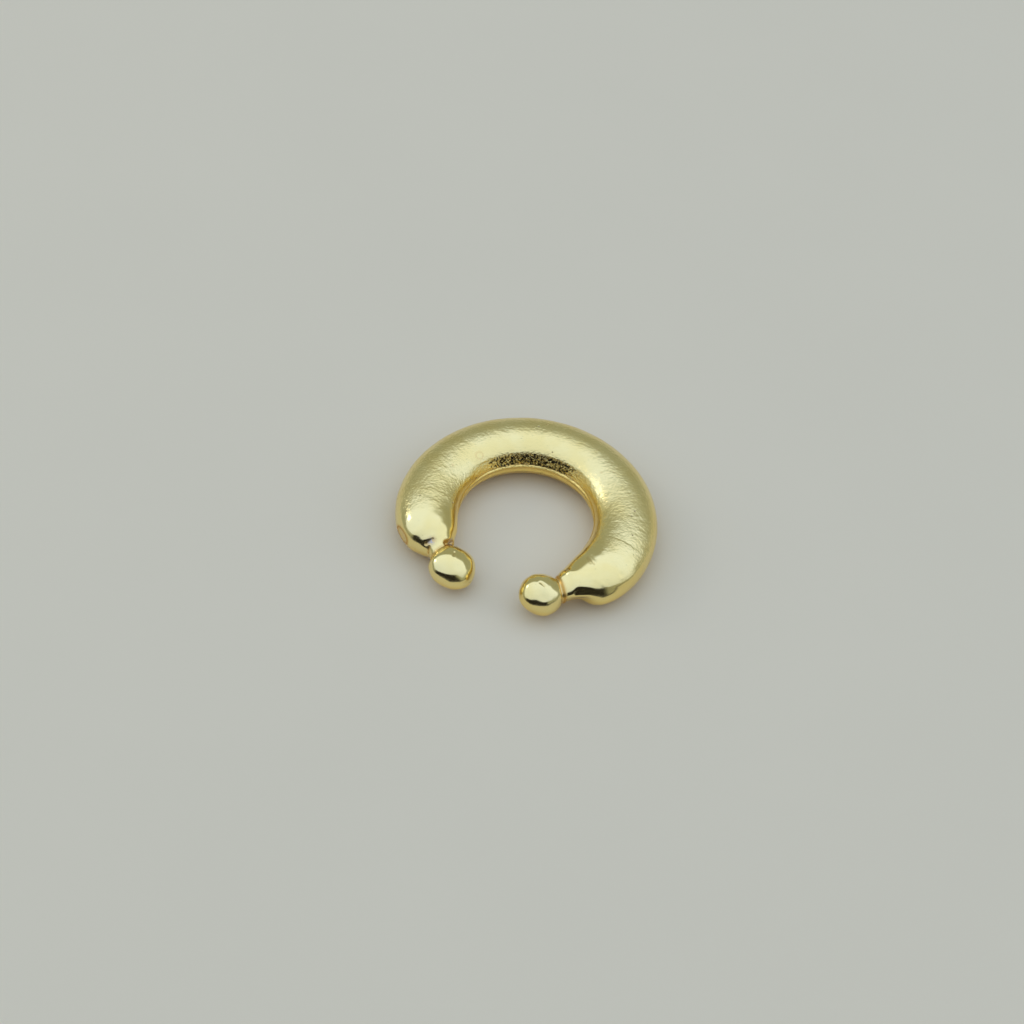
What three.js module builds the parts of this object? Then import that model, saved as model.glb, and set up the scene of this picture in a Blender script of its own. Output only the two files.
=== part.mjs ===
// Open ear cuff, cast in one piece: a fat oval bar bent into a C, with a short neck and a
// ball at each end. It lies flat on the table with its gap facing -Y. Millimetres, +Z up.
import * as THREE from 'three';

// The bar and the circle that it is bent to.
const RING_RADIUS = 4.9;
const BAR_HALF_WIDTH = 1.56;
const BAR_HALF_HEIGHT = 1.18;

// The underside is rubbed down to a narrow flat, this far below the middle of the bar.
const REST_DEPTH = 1.12;

// Each ball's centre stands this far round the circle from the middle of the gap.
const GAP_HALF_ANGLE = THREE.MathUtils.degToRad(28.3);

// The ends are hand finished, so no two are alike. A ball is an ellipsoid, with its
// radii along the bar, across it and upwards. Each section row has its distance along the
// bar from the ball's centre, its half sizes, and how far its middle sits inside the circle.
const LEFT_END = {
  ball: { along: 1.1, across: 1.12, up: 0.89, inset: 0.06 },
  sections: [
    { along: 0.89, halfWidth: 0.66, halfHeight: 0.6, inset: 0.12 },
    { along: 1.25, halfWidth: 0.72, halfHeight: 0.66, inset: 0.22 },
    { along: 1.65, halfWidth: 0.96, halfHeight: 0.84, inset: 0.15 },
    { along: 2.15, halfWidth: 1.28, halfHeight: 1.03, inset: 0.07 },
    { along: 2.95, halfWidth: 1.49, halfHeight: 1.14, inset: 0.02 },
    { along: 4.2, halfWidth: BAR_HALF_WIDTH, halfHeight: BAR_HALF_HEIGHT, inset: 0 },
  ],
};
const RIGHT_END = {
  ball: { along: 1.07, across: 1.03, up: 0.93, inset: 0.1 },
  sections: [
    { along: 0.8, halfWidth: 0.66, halfHeight: 0.6, inset: 0.17 },
    { along: 1.3, halfWidth: 0.75, halfHeight: 0.65, inset: 0.36 },
    { along: 1.8, halfWidth: 0.93, halfHeight: 0.77, inset: 0.36 },
    { along: 2.05, halfWidth: 1.2, halfHeight: 0.91, inset: 0.2 },
    { along: 2.35, halfWidth: 1.38, halfHeight: 1.02, inset: 0.09 },
    { along: 2.9, halfWidth: 1.49, halfHeight: 1.1, inset: 0.03 },
    { along: 3.7, halfWidth: 1.55, halfHeight: 1.15, inset: 0 },
    { along: 4.7, halfWidth: BAR_HALF_WIDTH, halfHeight: BAR_HALF_HEIGHT, inset: 0 },
  ],
};

// How finely the casting is faceted.
const FACETS_AROUND = 32;
const BALL_STEPS = 11;
const STEPS_BETWEEN_ROWS = 3;
const BAR_STEPS = 40;

const GOLD = { color: 0xd9c877, metalness: 1, roughness: 0.18 };

// Smooth value of one column at a share of the way from row i to the next.
function between(rows, i, share, column) {
  const value = (k) => rows[THREE.MathUtils.clamp(k, 0, rows.length - 1)][column];
  const curve = new THREE.SplineCurve([i - 1, i, i + 1, i + 2].map((k) => new THREE.Vector2(k, value(k))));
  return curve.getPoint((1 + share) / 3).y;
}

// Sections of a ball, from just past its tip to where the neck's width meets it.
function ballSections({ ball, sections }) {
  const neck = sections[0];
  const tip = Math.PI;
  const join = Math.asin(neck.halfWidth / ball.across);
  return Array.from({ length: BALL_STEPS }, (_, k) => {
    const turn = THREE.MathUtils.lerp(tip, join, (k + 1) / (BALL_STEPS + 1));
    const along = ball.along * Math.cos(turn);
    return {
      along,
      halfWidth: ball.across * Math.sin(turn),
      halfHeight: ball.up * Math.sin(turn),
      inset: THREE.MathUtils.lerp(ball.inset, neck.inset, THREE.MathUtils.smoothstep(along, 0, neck.along)),
    };
  });
}

// Sections of the neck and the shoulder, up to the full bar.
function shoulderSections({ sections }) {
  const columns = ['along', 'halfWidth', 'halfHeight', 'inset'];
  const steps = (sections.length - 1) * STEPS_BETWEEN_ROWS;
  return Array.from({ length: steps + 1 }, (_, k) => {
    const row = Math.min(Math.floor(k / STEPS_BETWEEN_ROWS), sections.length - 2);
    const share = k / STEPS_BETWEEN_ROWS - row;
    return Object.fromEntries(columns.map((name) => [name, between(sections, row, share, name)]));
  });
}

// All sections of one end, each at its angle round the circle. The left end's angles
// run clockwise from its ball, the right end's anticlockwise.
function endSections(end, ballAngle, turnSign) {
  const all = [...ballSections(end), ...shoulderSections(end)];
  return all.map((section) => ({ ...section, angle: ballAngle + turnSign * section.along / RING_RADIUS }));
}

// The plain bar between the two shoulders.
function barSections(fromAngle, toAngle) {
  return Array.from({ length: BAR_STEPS - 1 }, (_, k) => ({
    angle: THREE.MathUtils.lerp(fromAngle, toAngle, (k + 1) / BAR_STEPS),
    halfWidth: BAR_HALF_WIDTH,
    halfHeight: BAR_HALF_HEIGHT,
    inset: 0,
  }));
}

// A point at an angle round the ring, so far outwards from its circle and so far up.
function onRing(angle, outwards, up) {
  const radius = RING_RADIUS + outwards;
  return [radius * Math.cos(angle), radius * Math.sin(angle), Math.max(up, -REST_DEPTH)];
}

// The corners of one oval section, anticlockwise from its outer side.
function sectionCorners({ angle, halfWidth, halfHeight, inset }) {
  return Array.from({ length: FACETS_AROUND }, (_, k) => {
    const turn = 2 * Math.PI * k / FACETS_AROUND;
    return onRing(angle, halfWidth * Math.cos(turn) - inset, halfHeight * Math.sin(turn));
  });
}

// One closed skin over a run of sections, with a fan to a point at each tip.
function skin(sections, firstTip, lastTip) {
  const corners = sections.flatMap(sectionCorners);
  const first = corners.length;
  const last = first + 1;
  const corner = (ring, k) => ring * FACETS_AROUND + k % FACETS_AROUND;
  const faces = [];
  for (let k = 0; k < FACETS_AROUND; k++) {
    faces.push(first, corner(0, k), corner(0, k + 1));
    faces.push(last, corner(sections.length - 1, k + 1), corner(sections.length - 1, k));
  }
  for (let ring = 0; ring < sections.length - 1; ring++) {
    for (let k = 0; k < FACETS_AROUND; k++) {
      faces.push(corner(ring, k), corner(ring + 1, k), corner(ring + 1, k + 1));
      faces.push(corner(ring, k), corner(ring + 1, k + 1), corner(ring, k + 1));
    }
  }
  const geometry = new THREE.BufferGeometry();
  geometry.setAttribute('position', new THREE.Float32BufferAttribute([...corners, firstTip, lastTip].flat(), 3));
  geometry.setIndex(faces);
  geometry.computeVertexNormals();
  return geometry;
}

function cuffGeometry() {
  const gapMiddle = -Math.PI / 2;
  const rightBall = gapMiddle + GAP_HALF_ANGLE;
  const leftBall = gapMiddle - GAP_HALF_ANGLE + 2 * Math.PI;
  const right = endSections(RIGHT_END, rightBall, 1);
  const left = endSections(LEFT_END, leftBall, -1).reverse();
  const bar = barSections(right[right.length - 1].angle, left[0].angle);
  const rightTip = onRing(rightBall - RIGHT_END.ball.along / RING_RADIUS, -RIGHT_END.ball.inset, 0);
  const leftTip = onRing(leftBall + LEFT_END.ball.along / RING_RADIUS, -LEFT_END.ball.inset, 0);
  return skin([...right, ...bar, ...left], rightTip, leftTip);
}

// The cuff stands on z = 0, with the middle of its outline over the origin.
function earCuff() {
  const cuff = new THREE.Mesh(cuffGeometry(), new THREE.MeshStandardMaterial(GOLD));
  cuff.name = 'cuff';
  const box = new THREE.Box3().setFromObject(cuff);
  const middle = box.getCenter(new THREE.Vector3());
  cuff.position.set(-middle.x, -middle.y, -box.min.z);
  const group = new THREE.Group();
  group.add(cuff);
  return group;
}

export default earCuff();
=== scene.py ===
"""Gold-plated open ear cuff on a pale floor: one cast piece, a dense skin over the CAD's bend.

Lengths are millimetres until the mesh is made, which is in metres. A place on the casting is
(angle round the ring, turn round the bar's section), both in degrees: turn 0 is the outer wall,
90 the top and 180 the inner wall. Heights are out of the metal, and negative ones into it.
"""

import math

import bpy
import numpy as np
from mathutils import Matrix, Vector, noise


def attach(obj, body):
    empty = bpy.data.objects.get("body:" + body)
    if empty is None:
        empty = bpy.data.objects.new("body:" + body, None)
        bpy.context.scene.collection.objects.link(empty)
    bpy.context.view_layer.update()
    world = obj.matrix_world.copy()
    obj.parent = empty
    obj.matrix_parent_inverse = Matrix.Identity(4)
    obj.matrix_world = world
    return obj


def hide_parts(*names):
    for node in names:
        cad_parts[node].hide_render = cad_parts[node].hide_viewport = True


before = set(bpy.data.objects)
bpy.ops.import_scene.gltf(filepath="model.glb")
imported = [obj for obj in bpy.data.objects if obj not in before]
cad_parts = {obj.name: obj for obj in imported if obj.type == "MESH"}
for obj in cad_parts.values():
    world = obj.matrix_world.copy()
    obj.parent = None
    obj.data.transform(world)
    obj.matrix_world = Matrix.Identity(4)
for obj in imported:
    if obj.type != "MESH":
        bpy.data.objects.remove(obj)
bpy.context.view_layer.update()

MM = 0.001

# ------------------------------------------------------------ the CAD's driving dimensions
RING_RADIUS = 4.9
BAR_HALF_WIDTH = 1.56
BAR_HALF_HEIGHT = 1.18
REST_DEPTH = 1.12
GAP_HALF_ANGLE = 28.3
RING_CENTRE = np.array([-0.0012, -0.532, REST_DEPTH])

# Ball: along, across, up, inset. Rows: along, half width, half height, inset.
LEFT_BALL = (1.1, 1.12, 0.89, 0.06)
LEFT_ROWS = [
    (0.89, 0.66, 0.6, 0.12),
    (1.25, 0.72, 0.66, 0.22),
    (1.65, 0.96, 0.84, 0.15),
    (2.15, 1.28, 1.03, 0.07),
    (2.95, 1.49, 1.14, 0.02),
    (4.2, BAR_HALF_WIDTH, BAR_HALF_HEIGHT, 0),
]
RIGHT_BALL = (1.07, 1.03, 0.93, 0.1)
RIGHT_ROWS = [
    (0.8, 0.66, 0.6, 0.17),
    (1.3, 0.75, 0.65, 0.36),
    (1.8, 0.93, 0.77, 0.36),
    (2.05, 1.2, 0.91, 0.2),
    (2.35, 1.38, 1.02, 0.09),
    (2.9, 1.49, 1.1, 0.03),
    (3.7, 1.55, 1.15, 0),
    (4.7, BAR_HALF_WIDTH, BAR_HALF_HEIGHT, 0),
]
LEFT_MIDDLE = 270 - GAP_HALF_ANGLE      # ring angles of the balls' middles
RIGHT_MIDDLE = -90 + GAP_HALF_ANGLE

# The right shoulder's upper side swells more evenly than its abrupt lower side.
RIGHT_TOP_ROWS = [
    (0.8, 0.66, 0.6, 0.17),
    (1.3, 0.82, 0.72, 0.28),
    (1.8, 1.04, 0.86, 0.2),
    (2.35, 1.28, 0.98, 0.11),
    (2.9, 1.43, 1.08, 0.05),
    (3.7, 1.55, 1.15, 0),
    (4.7, BAR_HALF_WIDTH, BAR_HALF_HEIGHT, 0),
]
TOP_BLEND = (-0.25, 0.45)   # sines of the turns between which the upper rows take over

NECK_EASE = 0.2             # the end of a ball over which its section changes into the neck's
AROUND = 144                # corners round one section
CROWDING = 0.3              # how much closer together they are on the inner wall
ROW_SPACING = 0.051         # between sections

# Horizontal directions of the view that the cuff is known from.
VIEW_AZIMUTH = math.radians(15.2)
RIGHTWARDS = np.array([math.cos(VIEW_AZIMUTH), math.sin(VIEW_AZIMUTH), 0])
AWAY = np.array([-math.sin(VIEW_AZIMUTH), math.cos(VIEW_AZIMUTH), 0])
UPWARDS = np.array([0, 0, 1.0])


def smoothstep(x, low, high):
    t = np.clip((x - low) / (high - low), 0, 1)
    return t * t * (3 - 2 * t)


def span(x, rising, falling):
    """1 in the middle of a range and 0 outside it, with soft ends."""
    return smoothstep(x, *rising) * (1 - smoothstep(x, *falling))


def bell(distance, width):
    return np.exp(-(distance / width) ** 2)


def above(x, softness):
    """x where it is above 0 and 0 below, rounded over the softness."""
    return softness * np.log1p(np.exp(np.clip(x / softness, -40, 40)))


# ------------------------------------------------------------ the sections along the bend
def ball_profile(ball, neck, steps=240):
    """Rows from the ball's tip to the neck, which its end eases into."""
    along_axis, across, up, inset = ball
    turn = np.linspace(math.pi, math.asin(neck[1] / across), steps + 1)[:-1]
    along = along_axis * np.cos(turn)
    step_up = neck[2] - up * neck[1] / across
    height = up * np.sin(turn) + step_up * smoothstep(along, neck[0] - NECK_EASE, neck[0])
    insets = inset + (neck[3] - inset) * smoothstep(along, 0, neck[0])
    return np.column_stack([along, across * np.sin(turn), height, insets])


def shoulder_profile(rows, steps=60):
    """A Catmull-Rom line through the rows, as the CAD has it."""
    held = np.array([rows[0], *rows, rows[-1]], float)
    share = np.linspace(0, 1, steps, endpoint=False)[:, None]
    runs = []
    for a, b, c, d in zip(held, held[1:], held[2:], held[3:]):
        start, end = (c - a) / 2, (d - b) / 2
        runs.append((2 * b - 2 * c + start + end) * share**3
                    + (3 * c - 3 * b - 2 * start - end) * share**2 + start * share + b)
    return np.vstack([*runs, held[-1:]])


def end_rows(ball, rows):
    """The rows of one end, evenly spaced along its surface."""
    profile = np.vstack([ball_profile(ball, rows[0]), shoulder_profile(rows)])
    change = np.diff(profile[:, :3], axis=0)
    step = np.hypot(change[:, 0], np.abs(change[:, 1:]).max(1))
    length = np.concatenate([[0], np.cumsum(step)])
    wanted = np.linspace(0, length[-1], int(length[-1] / ROW_SPACING) + 1)[1:]
    return np.column_stack([np.interp(wanted, length, column) for column in profile.T])


def all_rows():
    """Angle in radians, half width, half height, inset, and distance from the nearer ball."""
    right, left = end_rows(RIGHT_BALL, RIGHT_ROWS), end_rows(LEFT_BALL, LEFT_ROWS)
    right_angle = math.radians(RIGHT_MIDDLE) + right[:, 0] / RING_RADIUS
    left_angle = math.radians(LEFT_MIDDLE) - left[:, 0] / RING_RADIUS
    count = int((left_angle[-1] - right_angle[-1]) * RING_RADIUS / ROW_SPACING)
    bar_angle = np.linspace(right_angle[-1], left_angle[-1], count + 1)[1:-1]
    from_ends = np.minimum(bar_angle - right_angle[-1], left_angle[-1] - bar_angle) * RING_RADIUS
    bar = np.column_stack([
        bar_angle, np.full(len(bar_angle), BAR_HALF_WIDTH),
        np.full(len(bar_angle), BAR_HALF_HEIGHT), np.zeros(len(bar_angle)),
        from_ends + LEFT_ROWS[-1][0],
    ])
    return np.vstack([
        np.column_stack([right_angle, right[:, 1:], right[:, 0]]),
        bar,
        np.column_stack([left_angle, left[:, 1:], left[:, 0]])[::-1],
    ])


rows = all_rows()
evenly = np.arange(AROUND) * 2 * math.pi / AROUND
turns = evenly + CROWDING * np.sin(evenly)
angle = rows[:, :1] + 0 * turns
turn = 0 * rows[:, :1] + turns
along = rows[:, 4:5] + 0 * turns
degrees = np.degrees(angle)
is_left = degrees > 90
on_top = smoothstep(np.sin(turn), *TOP_BLEND) * (~is_left & (along > RIGHT_TOP_ROWS[0][0]))
even = shoulder_profile(RIGHT_TOP_ROWS)
half_width, half_height, inset = (
    rows[:, k:k + 1] + on_top * (np.interp(along, even[:, 0], even[:, k]) - rows[:, k:k + 1])
    for k in (1, 2, 3))
outwards = half_width * np.cos(turns) - inset
up = half_height * np.sin(turns)
ball_tips = [
    (math.radians(RIGHT_MIDDLE) - RIGHT_BALL[0] / RING_RADIUS, -RIGHT_BALL[3]),
    (math.radians(LEFT_MIDDLE) + LEFT_BALL[0] / RING_RADIUS, -LEFT_BALL[3]),
]

# The parts that a mark or finish belongs to, as shares from 0 to 1.
bar_part = smoothstep(along, 3.2, 4.6)
ball_part = 1 - smoothstep(along, 0.35, 0.95)
ball_skin = 1 - smoothstep(along, 0.5, 0.9)
past_neck = smoothstep(along, 0.9, 1.4)
smooth_end = 1 - np.where(is_left, smoothstep(along, 2.6, 4.0), smoothstep(along, 3.0, 4.8))
far_side = span(degrees, (38, 62), (138, 165))
far_middle = span(degrees, (54, 78), (130, 152))
right_outside = span(degrees, (-32, -20), (18, 34))
arms = np.where(is_left, smoothstep(degrees, 120, 150), 1 - smoothstep(degrees, 35, 68))
towards_inside = -np.cos(turn)
towards_below = -np.sin(turn)

# The far inner wall carries a ground flat that looks up and inwards.
FLAT_TILT = math.radians(30)
FLAT_DEPTH = 0.06
FLAT_SOFTNESS = 0.006
PAINTED_DARK_FULL_DEPTH = 0.035     # ground away where the painted dark reflection shows in full
reach = math.hypot(BAR_HALF_WIDTH * math.cos(FLAT_TILT), BAR_HALF_HEIGHT * math.sin(FLAT_TILT))
over = -outwards * math.cos(FLAT_TILT) + up * math.sin(FLAT_TILT) - (reach - FLAT_DEPTH)
over = above(over, FLAT_SOFTNESS) * far_side
# Where the far inner flat is ground, black is painted in as a dark reflection.
painted_dark_reflection = smoothstep(over, 0.0, PAINTED_DARK_FULL_DEPTH) * far_middle
outwards = outwards + over * math.cos(FLAT_TILT)
up = up - over * math.sin(FLAT_TILT)


def to_points(angle, outwards, up):
    radius = RING_RADIUS + outwards
    return np.stack([radius * np.cos(angle), radius * np.sin(angle), up], -1)


def grid_normals(p):
    lengthways = np.gradient(p, axis=0)
    around = np.roll(p, -1, axis=1) - np.roll(p, 1, axis=1)
    n = np.cross(around, lengthways)
    n /= np.linalg.norm(n, axis=-1, keepdims=True) + 1e-12
    middle = to_points(angle, 0 * angle, 0 * angle)
    flip = np.sign(((p - middle) * n).sum(-1).mean())
    return n * flip


points = to_points(angle, outwards, up)
normals = grid_normals(points)

# The balls are lopsided: both rise towards the view's left, and swell to that side and the other.
# Ring angle, inset, slope, swell on the high side, swell on the low side, which points.
SWELL_EDGE = (0.2, 1)       # how squarely a point faces a side: no swell, full swell
LOPSIDED = [
    (LEFT_MIDDLE, LEFT_BALL[3], 0.2, 0.08, 0.08, is_left),
    (RIGHT_MIDDLE, RIGHT_BALL[3], 0.14, 0.10, 0, ~is_left),
]
moved = np.zeros_like(points)
for middle_angle, inset_by, slope, high, low, chosen in LOPSIDED:
    middle = to_points(np.float64(math.radians(middle_angle)), np.float64(-inset_by), np.float64(0))
    lift = slope * ((points - middle) @ -RIGHTWARDS) * ball_part * chosen
    facing = normals @ -RIGHTWARDS
    swell = high * smoothstep(facing, *SWELL_EDGE) + low * smoothstep(-facing, *SWELL_EDGE)
    moved += lift[..., None] * UPWARDS + (swell * ball_part * chosen)[..., None] * normals
points = points + moved
normals = grid_normals(points)


# ------------------------------------------------------------ marks on the casting
def at_corner(grid, spot):
    """The value of a grid at the corner nearest to (angle, turn) in degrees."""
    row = np.abs(degrees[:, 0] - (spot[0] - 360 if spot[0] > 270 else spot[0])).argmin()
    return grid[row, np.abs(turns - math.radians(spot[1] % 360)).argmin()]


def from_spot(spot):
    return np.linalg.norm(points - at_corner(points, spot), axis=-1)


def from_line(start, end):
    """Distance of every point from the straight line between two places."""
    a, b = at_corner(points, start), at_corner(points, end)
    share = np.clip(((points - a) @ (b - a)) / ((b - a) @ (b - a)), 0, 1)
    return np.linalg.norm(points - (a + share[..., None] * (b - a)), axis=-1)


def layer(coordinates):
    """Smooth noise, about -1 to 1, at each of the grid's coordinates."""
    made = np.array([noise.noise(Vector(c)) for c in coordinates.reshape(-1, 3)])
    return made.reshape(coordinates.shape[:-1])


relief = np.zeros_like(outwards)
tarnish = np.zeros_like(relief)
bare = np.zeros_like(relief)

# Unevenness from the casting and the polishing: height, size of its bumps, where it is taken.
unevenness = [
    (0.010, 1.3, 7),
    (0.005 + 0.004 * smooth_end + 0.006 * ball_part, 0.38, 19),
    (np.where(is_left, 0.014, 0.034) * ball_skin, 0.75, 31),
    (0.012 * smooth_end * past_neck, 0.7, 43),
    (0.0048 * (1 - smooth_end), 0.15, 13),
]
for height, size, offset in unevenness:
    relief += height * layer(points / size + offset)

# Wavy brushed ripples across the arms.
RIPPLE_HEIGHT = 0.0042
RIPPLE_LENGTH = 0.24
RIPPLE_BREAKS = 3.0         # how often a ripple breaks off on its way round the section
SWAY_LENGTH = 1.1
SWAY = 2.0
lengthways = angle * RING_RADIUS
section = np.stack([0 * turn, np.cos(turn), np.sin(turn)], -1)
run = np.stack([lengthways, 0 * turn, 0 * turn], -1)
sway = layer(run / SWAY_LENGTH + SWAY_LENGTH * section + 3)
swayed = np.stack([SWAY * sway, 0 * turn, 0 * turn], -1)
ripples = layer(run / RIPPLE_LENGTH + swayed + RIPPLE_BREAKS * section)
relief += RIPPLE_HEIGHT * ripples * arms * (1 - smooth_end)

# The balls come to a rounder crown than an ellipsoid's: place, radius, height.
CROWNS = [((244.0, 80), 0.62, 0.04), ((297.6, 74), 0.6, 0.05)]
for spot, radius, height in CROWNS:
    relief += height * bell(from_spot(spot), radius) * ball_part

# Seams along a wall, -1 the inner and 1 the outer: the mould's parting ridge under the flat, a
# fine one below it, and a faint one outside. Wall, level, sway, width, height, where.
SEAMS = [
    (-1, 0.12, 0.012, 0.045, 0.045, bar_part),
    (-1, -0.2, 0.01, 0.04, 0.03, bar_part),
    (1, 0.5, 0.02, 0.06, 0.012, right_outside),
]
SEAM_WAVE = 0.5
OTHER_WALL = 9              # keeps a seam off the wall that it isn't on
wobble = layer(run / SEAM_WAVE + 5)
from_seams = [np.abs(up - level - swing * wobble) + OTHER_WALL * (wall * np.cos(turn) < 0)
              for wall, level, swing, *_ in SEAMS]
for from_seam, (*_, width, height, where) in zip(from_seams, SEAMS):
    relief += height * bell(from_seam, width) * where
# Painted shade in thin lines either side of the parting ridge.
tarnish += 0.55 * bell(from_seams[0] - 0.1, 0.035) * bar_part

# The balls sit against their necks in a groove, and the right one has a thin collar.
# On the left end or not, distance from the ball's middle, width, height.
NECK_RINGS = [
    (True, 0.93, 0.07, -0.035),
    (False, 0.84, 0.05, -0.03),
    (False, 0.94, 0.06, 0.012),
    (False, 1.05, 0.045, -0.015),
]
for on_left, middle, width, height in NECK_RINGS:
    relief += height * bell(along - middle, width) * (is_left == on_left)
# Painted shade round the groove at each neck, darkest round the right one's collar.
tarnish += np.where(is_left, 0.6 * bell(along - 0.93, 0.08), bell(along - 0.92, 0.1))

# Line marks: from, to, width, height, then the darkening's amount, distance off the line, width.
OUTER_POCKET = ((224.4, 40), (225.0, 66))
INNER_POCKET = ((228.9, 112), (228.2, 158))
LINE_MARKS = [
    (*OUTER_POCKET, 0.11, -0.055, 0.7, 0, 0.14),
    (*INNER_POCKET, 0.13, -0.20, 1.2, 0.13, 0.06),
    (*INNER_POCKET, 0.13, 0, 0.7, 0, 0.1),
    ((226.2, 34), (227.2, 6), 0.05, -0.04, 0.9, 0, 0.06),       # a slit under the outer pocket
    ((324.5, 62), (327.6, 46), 0.07, 0.012, 0, 0, 1),           # a burr on the right shoulder
    ((328.2, 52), (330.6, 40), 0.06, -0.008, 0, 0, 1),          # and the dent beside it
]
for start, end, width, height, amount, off, tarnish_width in LINE_MARKS:
    gap = from_line(start, end)
    relief += height * bell(gap, width)
    tarnish += amount * bell(gap - off, tarnish_width)

# Bare metal in the pockets that the casting left beside the left neck: place, radius, amount.
BARE_SPOTS = [((224.7, 58), 0.16, 1.4), ((228.3, 152), 0.2, 1.6)]
for spot, radius, amount in BARE_SPOTS:
    bare += amount * bell(from_spot(spot), radius)


def flatten(middle, facing, depth, reach_to, soft):
    """How far to push back the skin near a place, to a plane that faces one way."""
    facing = facing / np.linalg.norm(facing)
    off = points - at_corner(points, middle)
    near = np.linalg.norm(off, axis=-1)
    level = (off @ facing)[near < reach_to].max() - depth
    cut_off = above(off @ facing - level, soft) * (1 - smoothstep(near, reach_to * 0.8, reach_to))
    return cut_off[..., None] * facing


# Flattish patches on the front of both ends, where the file went over them.
FILED_TOWARDS = 0.49 * UPWARDS - 0.87 * AWAY
filed = flatten((320.5, 16), FILED_TOWARDS, 0.06, 0.8, 0.01)
filed = filed + flatten((219.0, 25), FILED_TOWARDS, 0.02, 1.0, 0.01)

# A facet filed on the outside of the left end, with painted shade along its edge, and the facet a
# little darker.
FACET = (212.6, 4)
FACET_DEPTH = 0.06
FACET_REACH = 0.7
FACET_EDGE = 0.02
facet_normal = at_corner(normals, FACET)
facet_level = (points - at_corner(points, FACET)) @ facet_normal + FACET_DEPTH
near_facet = from_spot(FACET) < FACET_REACH
cut = np.where(near_facet, np.maximum(facet_level, 0), 0)
tarnish += 0.9 * near_facet * bell(facet_level, FACET_EDGE) + 0.3 * (cut > 0)

# A nick under the right shoulder's corner.
nick = from_spot((321.3, -50))
relief -= 0.07 * bell(nick, 0.13)
tarnish += 0.7 * bell(nick, 0.12)

# Small nubs and pits: place, radius, height. The smallest pits are dark.
SPOTS = [
    ((125.3, 172), 0.10, 0.03), ((98.4, 70), 0.05, -0.012), ((167.0, 110), 0.06, -0.014),
    ((51.2, 111), 0.05, -0.012), ((65.8, 82), 0.05, -0.010), ((342.0, 122), 0.07, 0.018),
    ((335.4, 117), 0.10, 0.018), ((337.6, 44), 0.09, -0.03), ((336.6, 40), 0.07, 0.018),
    ((316.4, 104), 0.20, 0.085), ((311.5, 106), 0.13, 0.03), ((293.1, 120), 0.10, -0.02),
    ((301.9, 109), 0.10, 0.02), ((297.1, 48), 0.20, -0.03), ((240.7, 98), 0.08, -0.02),
    ((114.0, 168), 0.07, -0.03), ((75.0, 168), 0.08, -0.03),
]
DARK_PIT_RADIUS = 0.07
for spot, radius, height in SPOTS:
    relief += height * bell(from_spot(spot), radius)
    if height < 0 and radius < DARK_PIT_RADIUS:
        tarnish += 0.4 * bell(from_spot(spot), radius)

# Scratches, each with a low burr round it: from, to, width, depth.
SCRATCHES = [
    ((332.6, 118), (330.6, 92), 0.05, 0.012), ((331.4, 116), (329.6, 98), 0.04, 0.009),
    ((296.2, 90), (298.2, 78), 0.07, 0.03), ((240.5, 100), (242.5, 90), 0.05, 0.02),
]
BURR_HEIGHT = 0.4           # in depths of the scratch
BURR_DISTANCE = 1.6         # in widths of it
for start, end, width, depth in SCRATCHES:
    gap = from_line(start, end)
    relief += depth * (BURR_HEIGHT * bell(gap - BURR_DISTANCE * width, width) - bell(gap, width))
    tarnish += 0.3 * bell(gap, width * 0.7)

# A worn round mark, like a ring, on top of the bar.
MARK_RADIUS = 0.19
MARK_WIDTH = 0.035
mark = bell(from_spot((146.0, 126)) - MARK_RADIUS, MARK_WIDTH)
relief -= 0.012 * mark
tarnish += 0.3 * mark

points = points + relief[..., None] * normals - cut[..., None] * facet_normal - filed
points[..., 2] = np.maximum(points[..., 2], -REST_DEPTH)

# How much orange peel shows, and how much amber is painted on as reflection of the gold in itself
# and of the gold-lit floor: most on the inner wall and underneath.
peel = (1 - smooth_end) * (0.5 + 0.58 * far_side * smoothstep(towards_inside, 0.45, 0.75))
amber_painted_reflection = smoothstep(towards_inside, 0.62, 0.9) * smoothstep(-up, -0.75, -0.4)
amber_painted_reflection = np.maximum(amber_painted_reflection * smoothstep(along, 0.9, 1.3), 0.75 * smoothstep(towards_below, -0.1, 0.3))

# What the material reads at each corner: name, values, value at the balls' tips.
SHADES = [("polish", smooth_end, 1.0), ("peel", peel, 0.05), ("tarnish", tarnish, 0.0),
          ("bare", bare, 0.0), ("amber_painted_reflection", amber_painted_reflection, 0.0), ("painted_dark_reflection", painted_dark_reflection, 0.0)]


# ------------------------------------------------------------ the skin
def build_skin(name):
    tips = [to_points(np.float64(a), np.float64(o), np.float64(0)) for a, o in ball_tips]
    corners = (np.vstack([points.reshape(-1, 3), *tips]) + RING_CENTRE) * MM
    count = len(points)
    index = np.arange(count * AROUND).reshape(count, AROUND)
    following = np.roll(index, -1, axis=1)
    quads = np.stack([index[:-1], index[1:], following[1:], following[:-1]], -1).reshape(-1, 4)
    first, last = count * AROUND, count * AROUND + 1
    fans = [(first, a, b) for a, b in zip(index[0], following[0])]
    fans += [(last, b, a) for a, b in zip(index[-1], following[-1])]
    mesh = bpy.data.meshes.new(name)
    mesh.from_pydata(corners.tolist(), [], quads.tolist() + fans)
    mesh.polygons.foreach_set("use_smooth", [True] * len(mesh.polygons))
    for label, values, at_tips in SHADES:
        shade = np.concatenate([np.clip(values, 0, 1).ravel(), [at_tips, at_tips]])
        attribute = mesh.attributes.new(label, "FLOAT", "POINT")
        attribute.data.foreach_set("value", shade.astype(np.float32))
    mesh.update()
    made = bpy.data.objects.new(name, mesh)
    bpy.context.scene.collection.objects.link(made)
    return made


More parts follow.
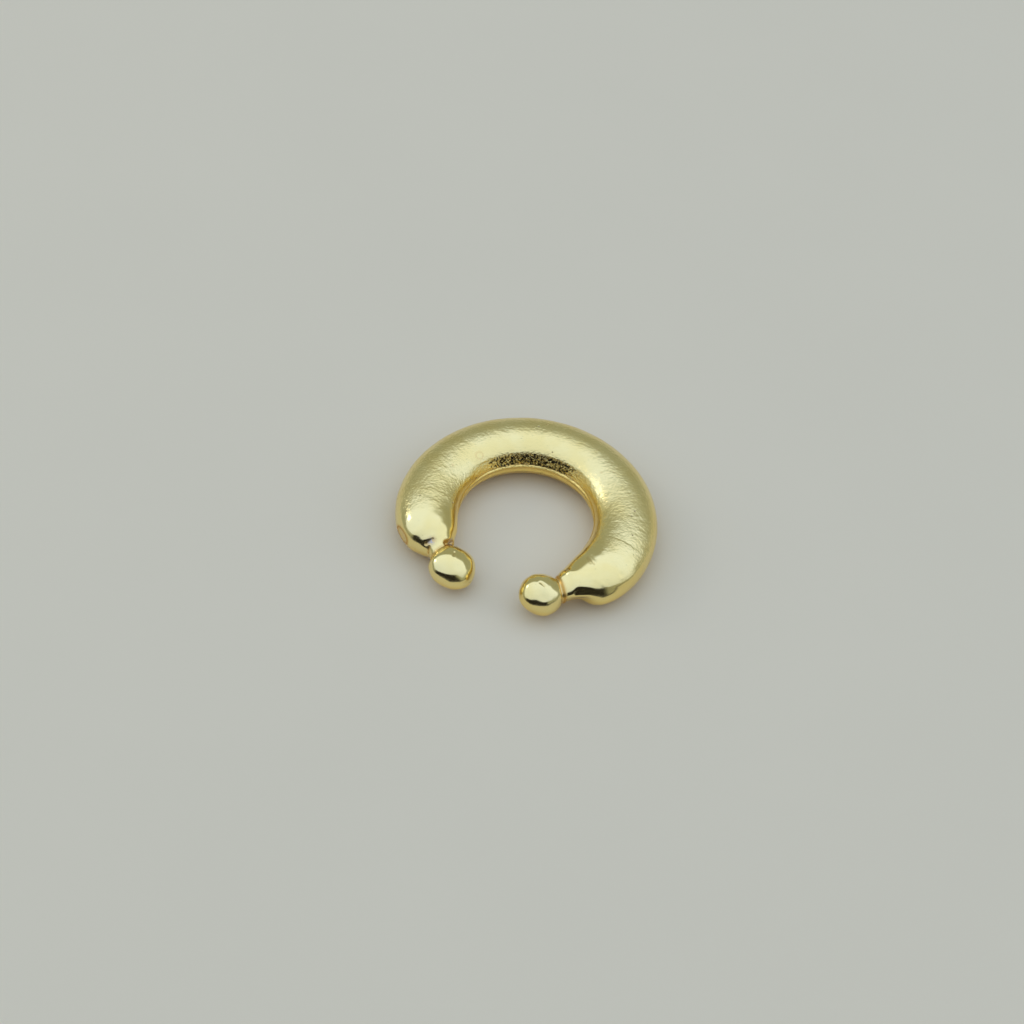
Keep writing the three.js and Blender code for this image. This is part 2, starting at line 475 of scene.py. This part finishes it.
# ------------------------------------------------------------ node helpers
class Nodes:
    """Short ways to write a node tree: a value or a socket goes into any input."""

    def __init__(self, tree):
        self.tree = tree
        tree.nodes.clear()

    def put(self, node, key, value):
        if isinstance(value, bpy.types.NodeSocket):
            self.tree.links.new(value, node.inputs[key])
        else:
            node.inputs[key].default_value = value

    def add(self, kind, inputs=(), **settings):
        made = self.tree.nodes.new("ShaderNode" + kind)
        for name, value in settings.items():
            setattr(made, name, value)
        for key, value in dict(inputs).items():
            self.put(made, key, value)
        return made

    def math(self, operation, *values):
        return self.add("Math", dict(enumerate(values)), operation=operation).outputs[0]

    def dot(self, socket, vector):
        made = self.add("VectorMath", {0: socket, 1: tuple(vector)}, operation="DOT_PRODUCT")
        return made.outputs["Value"]

    def step(self, value, low, high, to_low=0.0, to_high=1.0):
        made = self.add("MapRange", {"Value": value, "From Min": low, "From Max": high,
                                     "To Min": to_low, "To Max": to_high},
                        interpolation_type="SMOOTHSTEP")
        return made.outputs["Result"]

    def mix(self, share, a, b):
        made = self.add("Mix", data_type="RGBA")
        self.put(made, 0, share)
        for key, value in ((6, a), (7, b)):
            is_colour = not isinstance(value, bpy.types.NodeSocket)
            self.put(made, key, (*value, 1.0) if is_colour else value)
        return made.outputs[2]

    def attribute(self, name):
        return self.add("Attribute", attribute_name=name).outputs["Fac"]

    def noise(self, at, scale, detail, roughness=0.5):
        return self.add("TexNoise", {"Vector": at, "Scale": scale, "Detail": detail,
                                     "Roughness": roughness}).outputs["Fac"]


# ------------------------------------------------------------ gold plate
GOLD = (0.94, 0.78, 0.34)
GOLD_WARM = (0.93, 0.74, 0.28)
AMBER_PAINTED_REFLECTION = (1.0, 0.75, 0.23)
GOLD_DEEP = (0.62, 0.33, 0.06)
GOLD_PIT = (0.20, 0.14, 0.05)
# The black of the painted dark reflection on the far inner flat.
BLACK_PAINTED_REFLECTION = (0.04, 0.03, 0.012)
BARE_METAL = (0.52, 0.46, 0.36)

# Texture scales, per metre.
CLOUDS = 520.0
PEEL = 1 / 0.00013
HOLLOWS = 1 / 0.0001
PITS = 2600.0
BARE_PATCHES = 14000.0

PEEL_HEIGHT = 0.00004       # metres
LEAST_PEEL = 0.05
BAR_ROUGHNESS = 0.21
END_ROUGHNESS = 0.135


def gold_material():
    material = bpy.data.materials.new("gold_plate")
    material.use_nodes = True
    n = Nodes(material.node_tree)
    at = n.add("TexCoord").outputs["Object"]
    polish = n.attribute("polish")
    darkening = n.attribute("tarnish")

    clouds = n.noise(at, CLOUDS, 3.0)
    cells = n.add("TexVoronoi", {"Vector": at, "Scale": PITS}, feature="F1")
    chosen = n.add("SeparateColor", {"Color": cells.outputs["Color"]}).outputs[0]
    pit = n.math("MULTIPLY", n.step(cells.outputs["Distance"], 0.16, 0.06),
                 n.step(chosen, 0.86, 0.88))
    pit = n.math("MULTIPLY", pit, n.math("SUBTRACT", 1.0, polish))

    colour = n.mix(n.step(clouds, 0.35, 0.65), GOLD, GOLD_WARM)
    # Painted reflection: amber on the inner wall and underneath.
    colour = n.mix(n.attribute("amber_painted_reflection"), colour, AMBER_PAINTED_REFLECTION)
    colour = n.mix(n.math("MULTIPLY", pit, 0.6), colour, GOLD_PIT)
    # GOLD_DEEP darkens the marks, and paints shade in the neck grooves, beside the parting ridge
    # and along the facet's edge.
    colour = n.mix(n.math("MINIMUM", darkening, 0.9), colour, GOLD_DEEP)
    patches = n.step(n.noise(at, BARE_PATCHES, 2.0), 0.40, 0.52)
    colour = n.mix(n.math("MULTIPLY", n.attribute("bare"), patches), colour, BARE_METAL)

    # Painted dark reflection: black in the noise's hollows, full where the far inner flat is ground
    # deepest and thinner towards its edges.
    skin = n.math("MULTIPLY", n.attribute("painted_dark_reflection"), 0.3)
    depth = n.math("SUBTRACT", n.math("ADD", n.noise(at, HOLLOWS, 2.0, 0.65), skin), 0.73)
    colour = n.mix(n.step(depth, -0.06, 0.15), colour, BLACK_PAINTED_REFLECTION)

    roughness = n.step(polish, 0.0, 1.0, BAR_ROUGHNESS, END_ROUGHNESS)
    roughness = n.math("ADD", roughness, n.step(clouds, 0.3, 0.7, -0.02, 0.03))
    roughness = n.math("ADD", roughness, n.math("MULTIPLY", darkening, 0.25))
    roughness = n.math("ADD", roughness, n.math("MULTIPLY", pit, 0.2))

    peeling = n.math("ADD", n.attribute("peel"), LEAST_PEEL)
    height = n.math("MULTIPLY", n.noise(at, PEEL, 3.0, 0.6), peeling)
    height = n.math("SUBTRACT", height, n.math("MULTIPLY", pit, 0.5))
    bump = n.add("Bump", {"Height": height, "Distance": PEEL_HEIGHT, "Strength": 1.0})
    shader = n.add("BsdfPrincipled", {"Base Color": colour, "Roughness": roughness,
                                      "Metallic": 1.0, "Normal": bump.outputs["Normal"]})
    n.add("OutputMaterial", {"Surface": shader.outputs[0]})
    return material


cuff = build_skin("cuff_metal")
cuff.data.materials.append(gold_material())
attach(cuff, "root")
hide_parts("cuff")

# ------------------------------------------------------------ camera
CAMERA_ELEVATION = math.radians(48.975)
CAMERA_ROLL = math.radians(-5.466)
CAMERA_DISTANCE = 98.0
CAMERA_LENS = 70.2
CAMERA_OFFSET = (-0.70, 0.32)      # to the camera's right and up, so the cuff isn't centred


def add_camera():
    back = -AWAY * math.cos(CAMERA_ELEVATION) + UPWARDS * math.sin(CAMERA_ELEVATION)
    level_up = np.cross(back, RIGHTWARDS)
    right = math.cos(CAMERA_ROLL) * RIGHTWARDS - math.sin(CAMERA_ROLL) * level_up
    top = math.sin(CAMERA_ROLL) * RIGHTWARDS + math.cos(CAMERA_ROLL) * level_up
    spot = RING_CENTRE + back * CAMERA_DISTANCE + right * CAMERA_OFFSET[0] + top * CAMERA_OFFSET[1]
    data = bpy.data.cameras.new("camera")
    data.lens = CAMERA_LENS
    data.sensor_width = 36.0
    data.clip_start = 0.001
    data.clip_end = 10.0
    camera = bpy.data.objects.new("camera", data)
    turned = Matrix([list(right), list(top), list(back)]).transposed().to_4x4()
    camera.matrix_world = Matrix.Translation(Vector(spot * MM)) @ turned
    bpy.context.scene.collection.objects.link(camera)
    bpy.context.scene.camera = camera


add_camera()

# ------------------------------------------------------------ floor
FLOOR_COLOUR = (0.73, 0.635, 0.432)
FLOOR_REACH = 2.0           # metres
FLOOR_LEVEL = -2e-6
MOTTLE = 90.0


def add_plane(name, corners):
    """A stage object of one face, from its corners in metres, and its emptied node tree."""
    mesh = bpy.data.meshes.new(name)
    mesh.from_pydata(corners, [], [(0, 1, 2, 3)])
    made = bpy.data.objects.new(name, mesh)
    bpy.context.scene.collection.objects.link(made)
    material = bpy.data.materials.new(name)
    material.use_nodes = True
    mesh.materials.append(material)
    return made, Nodes(material.node_tree)


def add_floor():
    spots = ((-1, -1), (1, -1), (1, 1), (-1, 1))
    _, n = add_plane("floor", [(FLOOR_REACH * x, FLOOR_REACH * y, FLOOR_LEVEL) for x, y in spots])
    at = n.add("TexCoord").outputs["Object"]
    mottle = n.noise(at, MOTTLE, 4.0)
    colour = n.mix(mottle, [0.985 * c for c in FLOOR_COLOUR], [1.015 * c for c in FLOOR_COLOUR])
    shader = n.add("BsdfPrincipled", {"Base Color": colour, "Roughness": 0.95,
                                      "Specular IOR Level": 0.1})
    n.add("OutputMaterial", {"Surface": shader.outputs[0]})


add_floor()

# ------------------------------------------------------------ soft studio light
OVERHEAD = (0.89, 1.06, 1.48)       # the softbox, at its brightest
WALLS = (0.32, 0.36, 0.34)
DARK_SIDE = (0.02, 0.02, 0.02)      # the unlit side, where the camera stands
BACKDROP = (0.52, 0.54, 0.50)

# The softbox is a rectangle on a level ceiling, in ceiling heights: where each edge starts and
# ends, and how its brightness rises from near to far.
BOX_FAR_EDGE = (1.08, 0.70)
BOX_NEAR_EDGE = (-1.8, -1.45)
BOX_SIDE_EDGES = (4.5, 2.6)
BOX_HORIZON = (0.02, 0.1)
BOX_BRIGHTNESS = (-1.6, 0.8, 0.78, 1.0)

DARK_TURN = math.radians(8)         # the unlit side's middle, left of the camera
DARK_EDGE = (0.52, 0.74)            # cosines from that middle
LEAST_LEVEL = 0.02                  # keeps the divisions off zero

LAMP_TINT = (1.0, 0.98, 0.95)
LAMP_RADIANCE = 2.8
LAMP_WIDTH = 0.075                  # metres
LAMP_DISTANCE = 0.3
LAMP_TOWARDS = -0.81 * RIGHTWARDS + 0.256 * AWAY + 0.514 * UPWARDS


def add_world():
    world = bpy.data.worlds.new("studio")
    bpy.context.scene.world = world
    world.use_nodes = True
    n = Nodes(world.node_tree)
    direction = n.add("TexCoord").outputs["Generated"]
    height = n.dot(direction, UPWARDS)
    level = n.math("MAXIMUM", height, LEAST_LEVEL)
    ceiling_away = n.math("DIVIDE", n.dot(direction, AWAY), level)
    ceiling_side = n.math("ABSOLUTE", n.math("DIVIDE", n.dot(direction, RIGHTWARDS), level))
    box = n.step(ceiling_away, *BOX_FAR_EDGE)
    box = n.math("MULTIPLY", box, n.step(ceiling_away, *BOX_NEAR_EDGE))
    box = n.math("MULTIPLY", box, n.step(ceiling_side, *BOX_SIDE_EDGES))
    box = n.math("MULTIPLY", box, n.step(height, *BOX_HORIZON))
    overhead = n.mix(n.step(ceiling_away, *BOX_BRIGHTNESS), (0, 0, 0), OVERHEAD)

    flat = n.math("SQRT", n.math("SUBTRACT", 1.0, n.math("MULTIPLY", height, height)))
    dark_towards = -AWAY * math.cos(DARK_TURN) - RIGHTWARDS * math.sin(DARK_TURN)
    facing = n.math("DIVIDE", n.dot(direction, dark_towards), n.math("MAXIMUM", flat, LEAST_LEVEL))
    walls = n.mix(n.step(facing, *DARK_EDGE), WALLS, DARK_SIDE)
    light = n.mix(box, walls, overhead)
    seen = n.mix(n.add("LightPath").outputs["Is Camera Ray"], light, BACKDROP)
    shader = n.add("Background", {"Color": seen, "Strength": 1.0})
    n.add("OutputWorld", {"Surface": shader.outputs[0]})


def add_lamp():
    """A round lamp for the glints."""
    lamp = bpy.data.lights.new("lamp", "AREA")
    lamp.shape = "DISK"
    lamp.size = LAMP_WIDTH
    lamp.color = LAMP_TINT
    lamp.energy = LAMP_RADIANCE * math.pi * math.pi * (lamp.size / 2) ** 2
    holder = bpy.data.objects.new("lamp", lamp)
    toward = Vector(LAMP_TOWARDS).normalized()
    holder.location = Vector(RING_CENTRE) * MM + toward * LAMP_DISTANCE
    holder.rotation_euler = toward.to_track_quat("Z", "Y").to_euler()
    bpy.context.scene.collection.objects.link(holder)


APRON_NEAR, APRON_FAR, APRON_HALF_WIDTH, APRON_LEVEL = 0.014, 0.4, 0.3, 2e-5     # metres


def add_dark_apron():
    """A black sheet standing in for the unlit floor beyond the cuff on the dark side: painted
    shade, which only reflections see.
    """
    wide = APRON_HALF_WIDTH
    spots = [RING_CENTRE * MM - AWAY * d + RIGHTWARDS * w for d, w in
             ((APRON_NEAR, -wide), (APRON_NEAR, wide), (APRON_FAR, wide), (APRON_FAR, -wide))]
    apron, n = add_plane("dark_apron", [(x, y, APRON_LEVEL) for x, y, _ in spots])
    shader = n.add("BsdfPrincipled", {"Base Color": (*DARK_SIDE, 1.0), "Roughness": 1.0})
    n.add("OutputMaterial", {"Surface": shader.outputs[0]})
    apron.visible_camera = apron.visible_diffuse = apron.visible_shadow = False
    apron.visible_transmission = apron.visible_volume_scatter = False


add_world()
add_lamp()
add_dark_apron()
bpy.context.scene.view_settings.view_transform = "Standard"
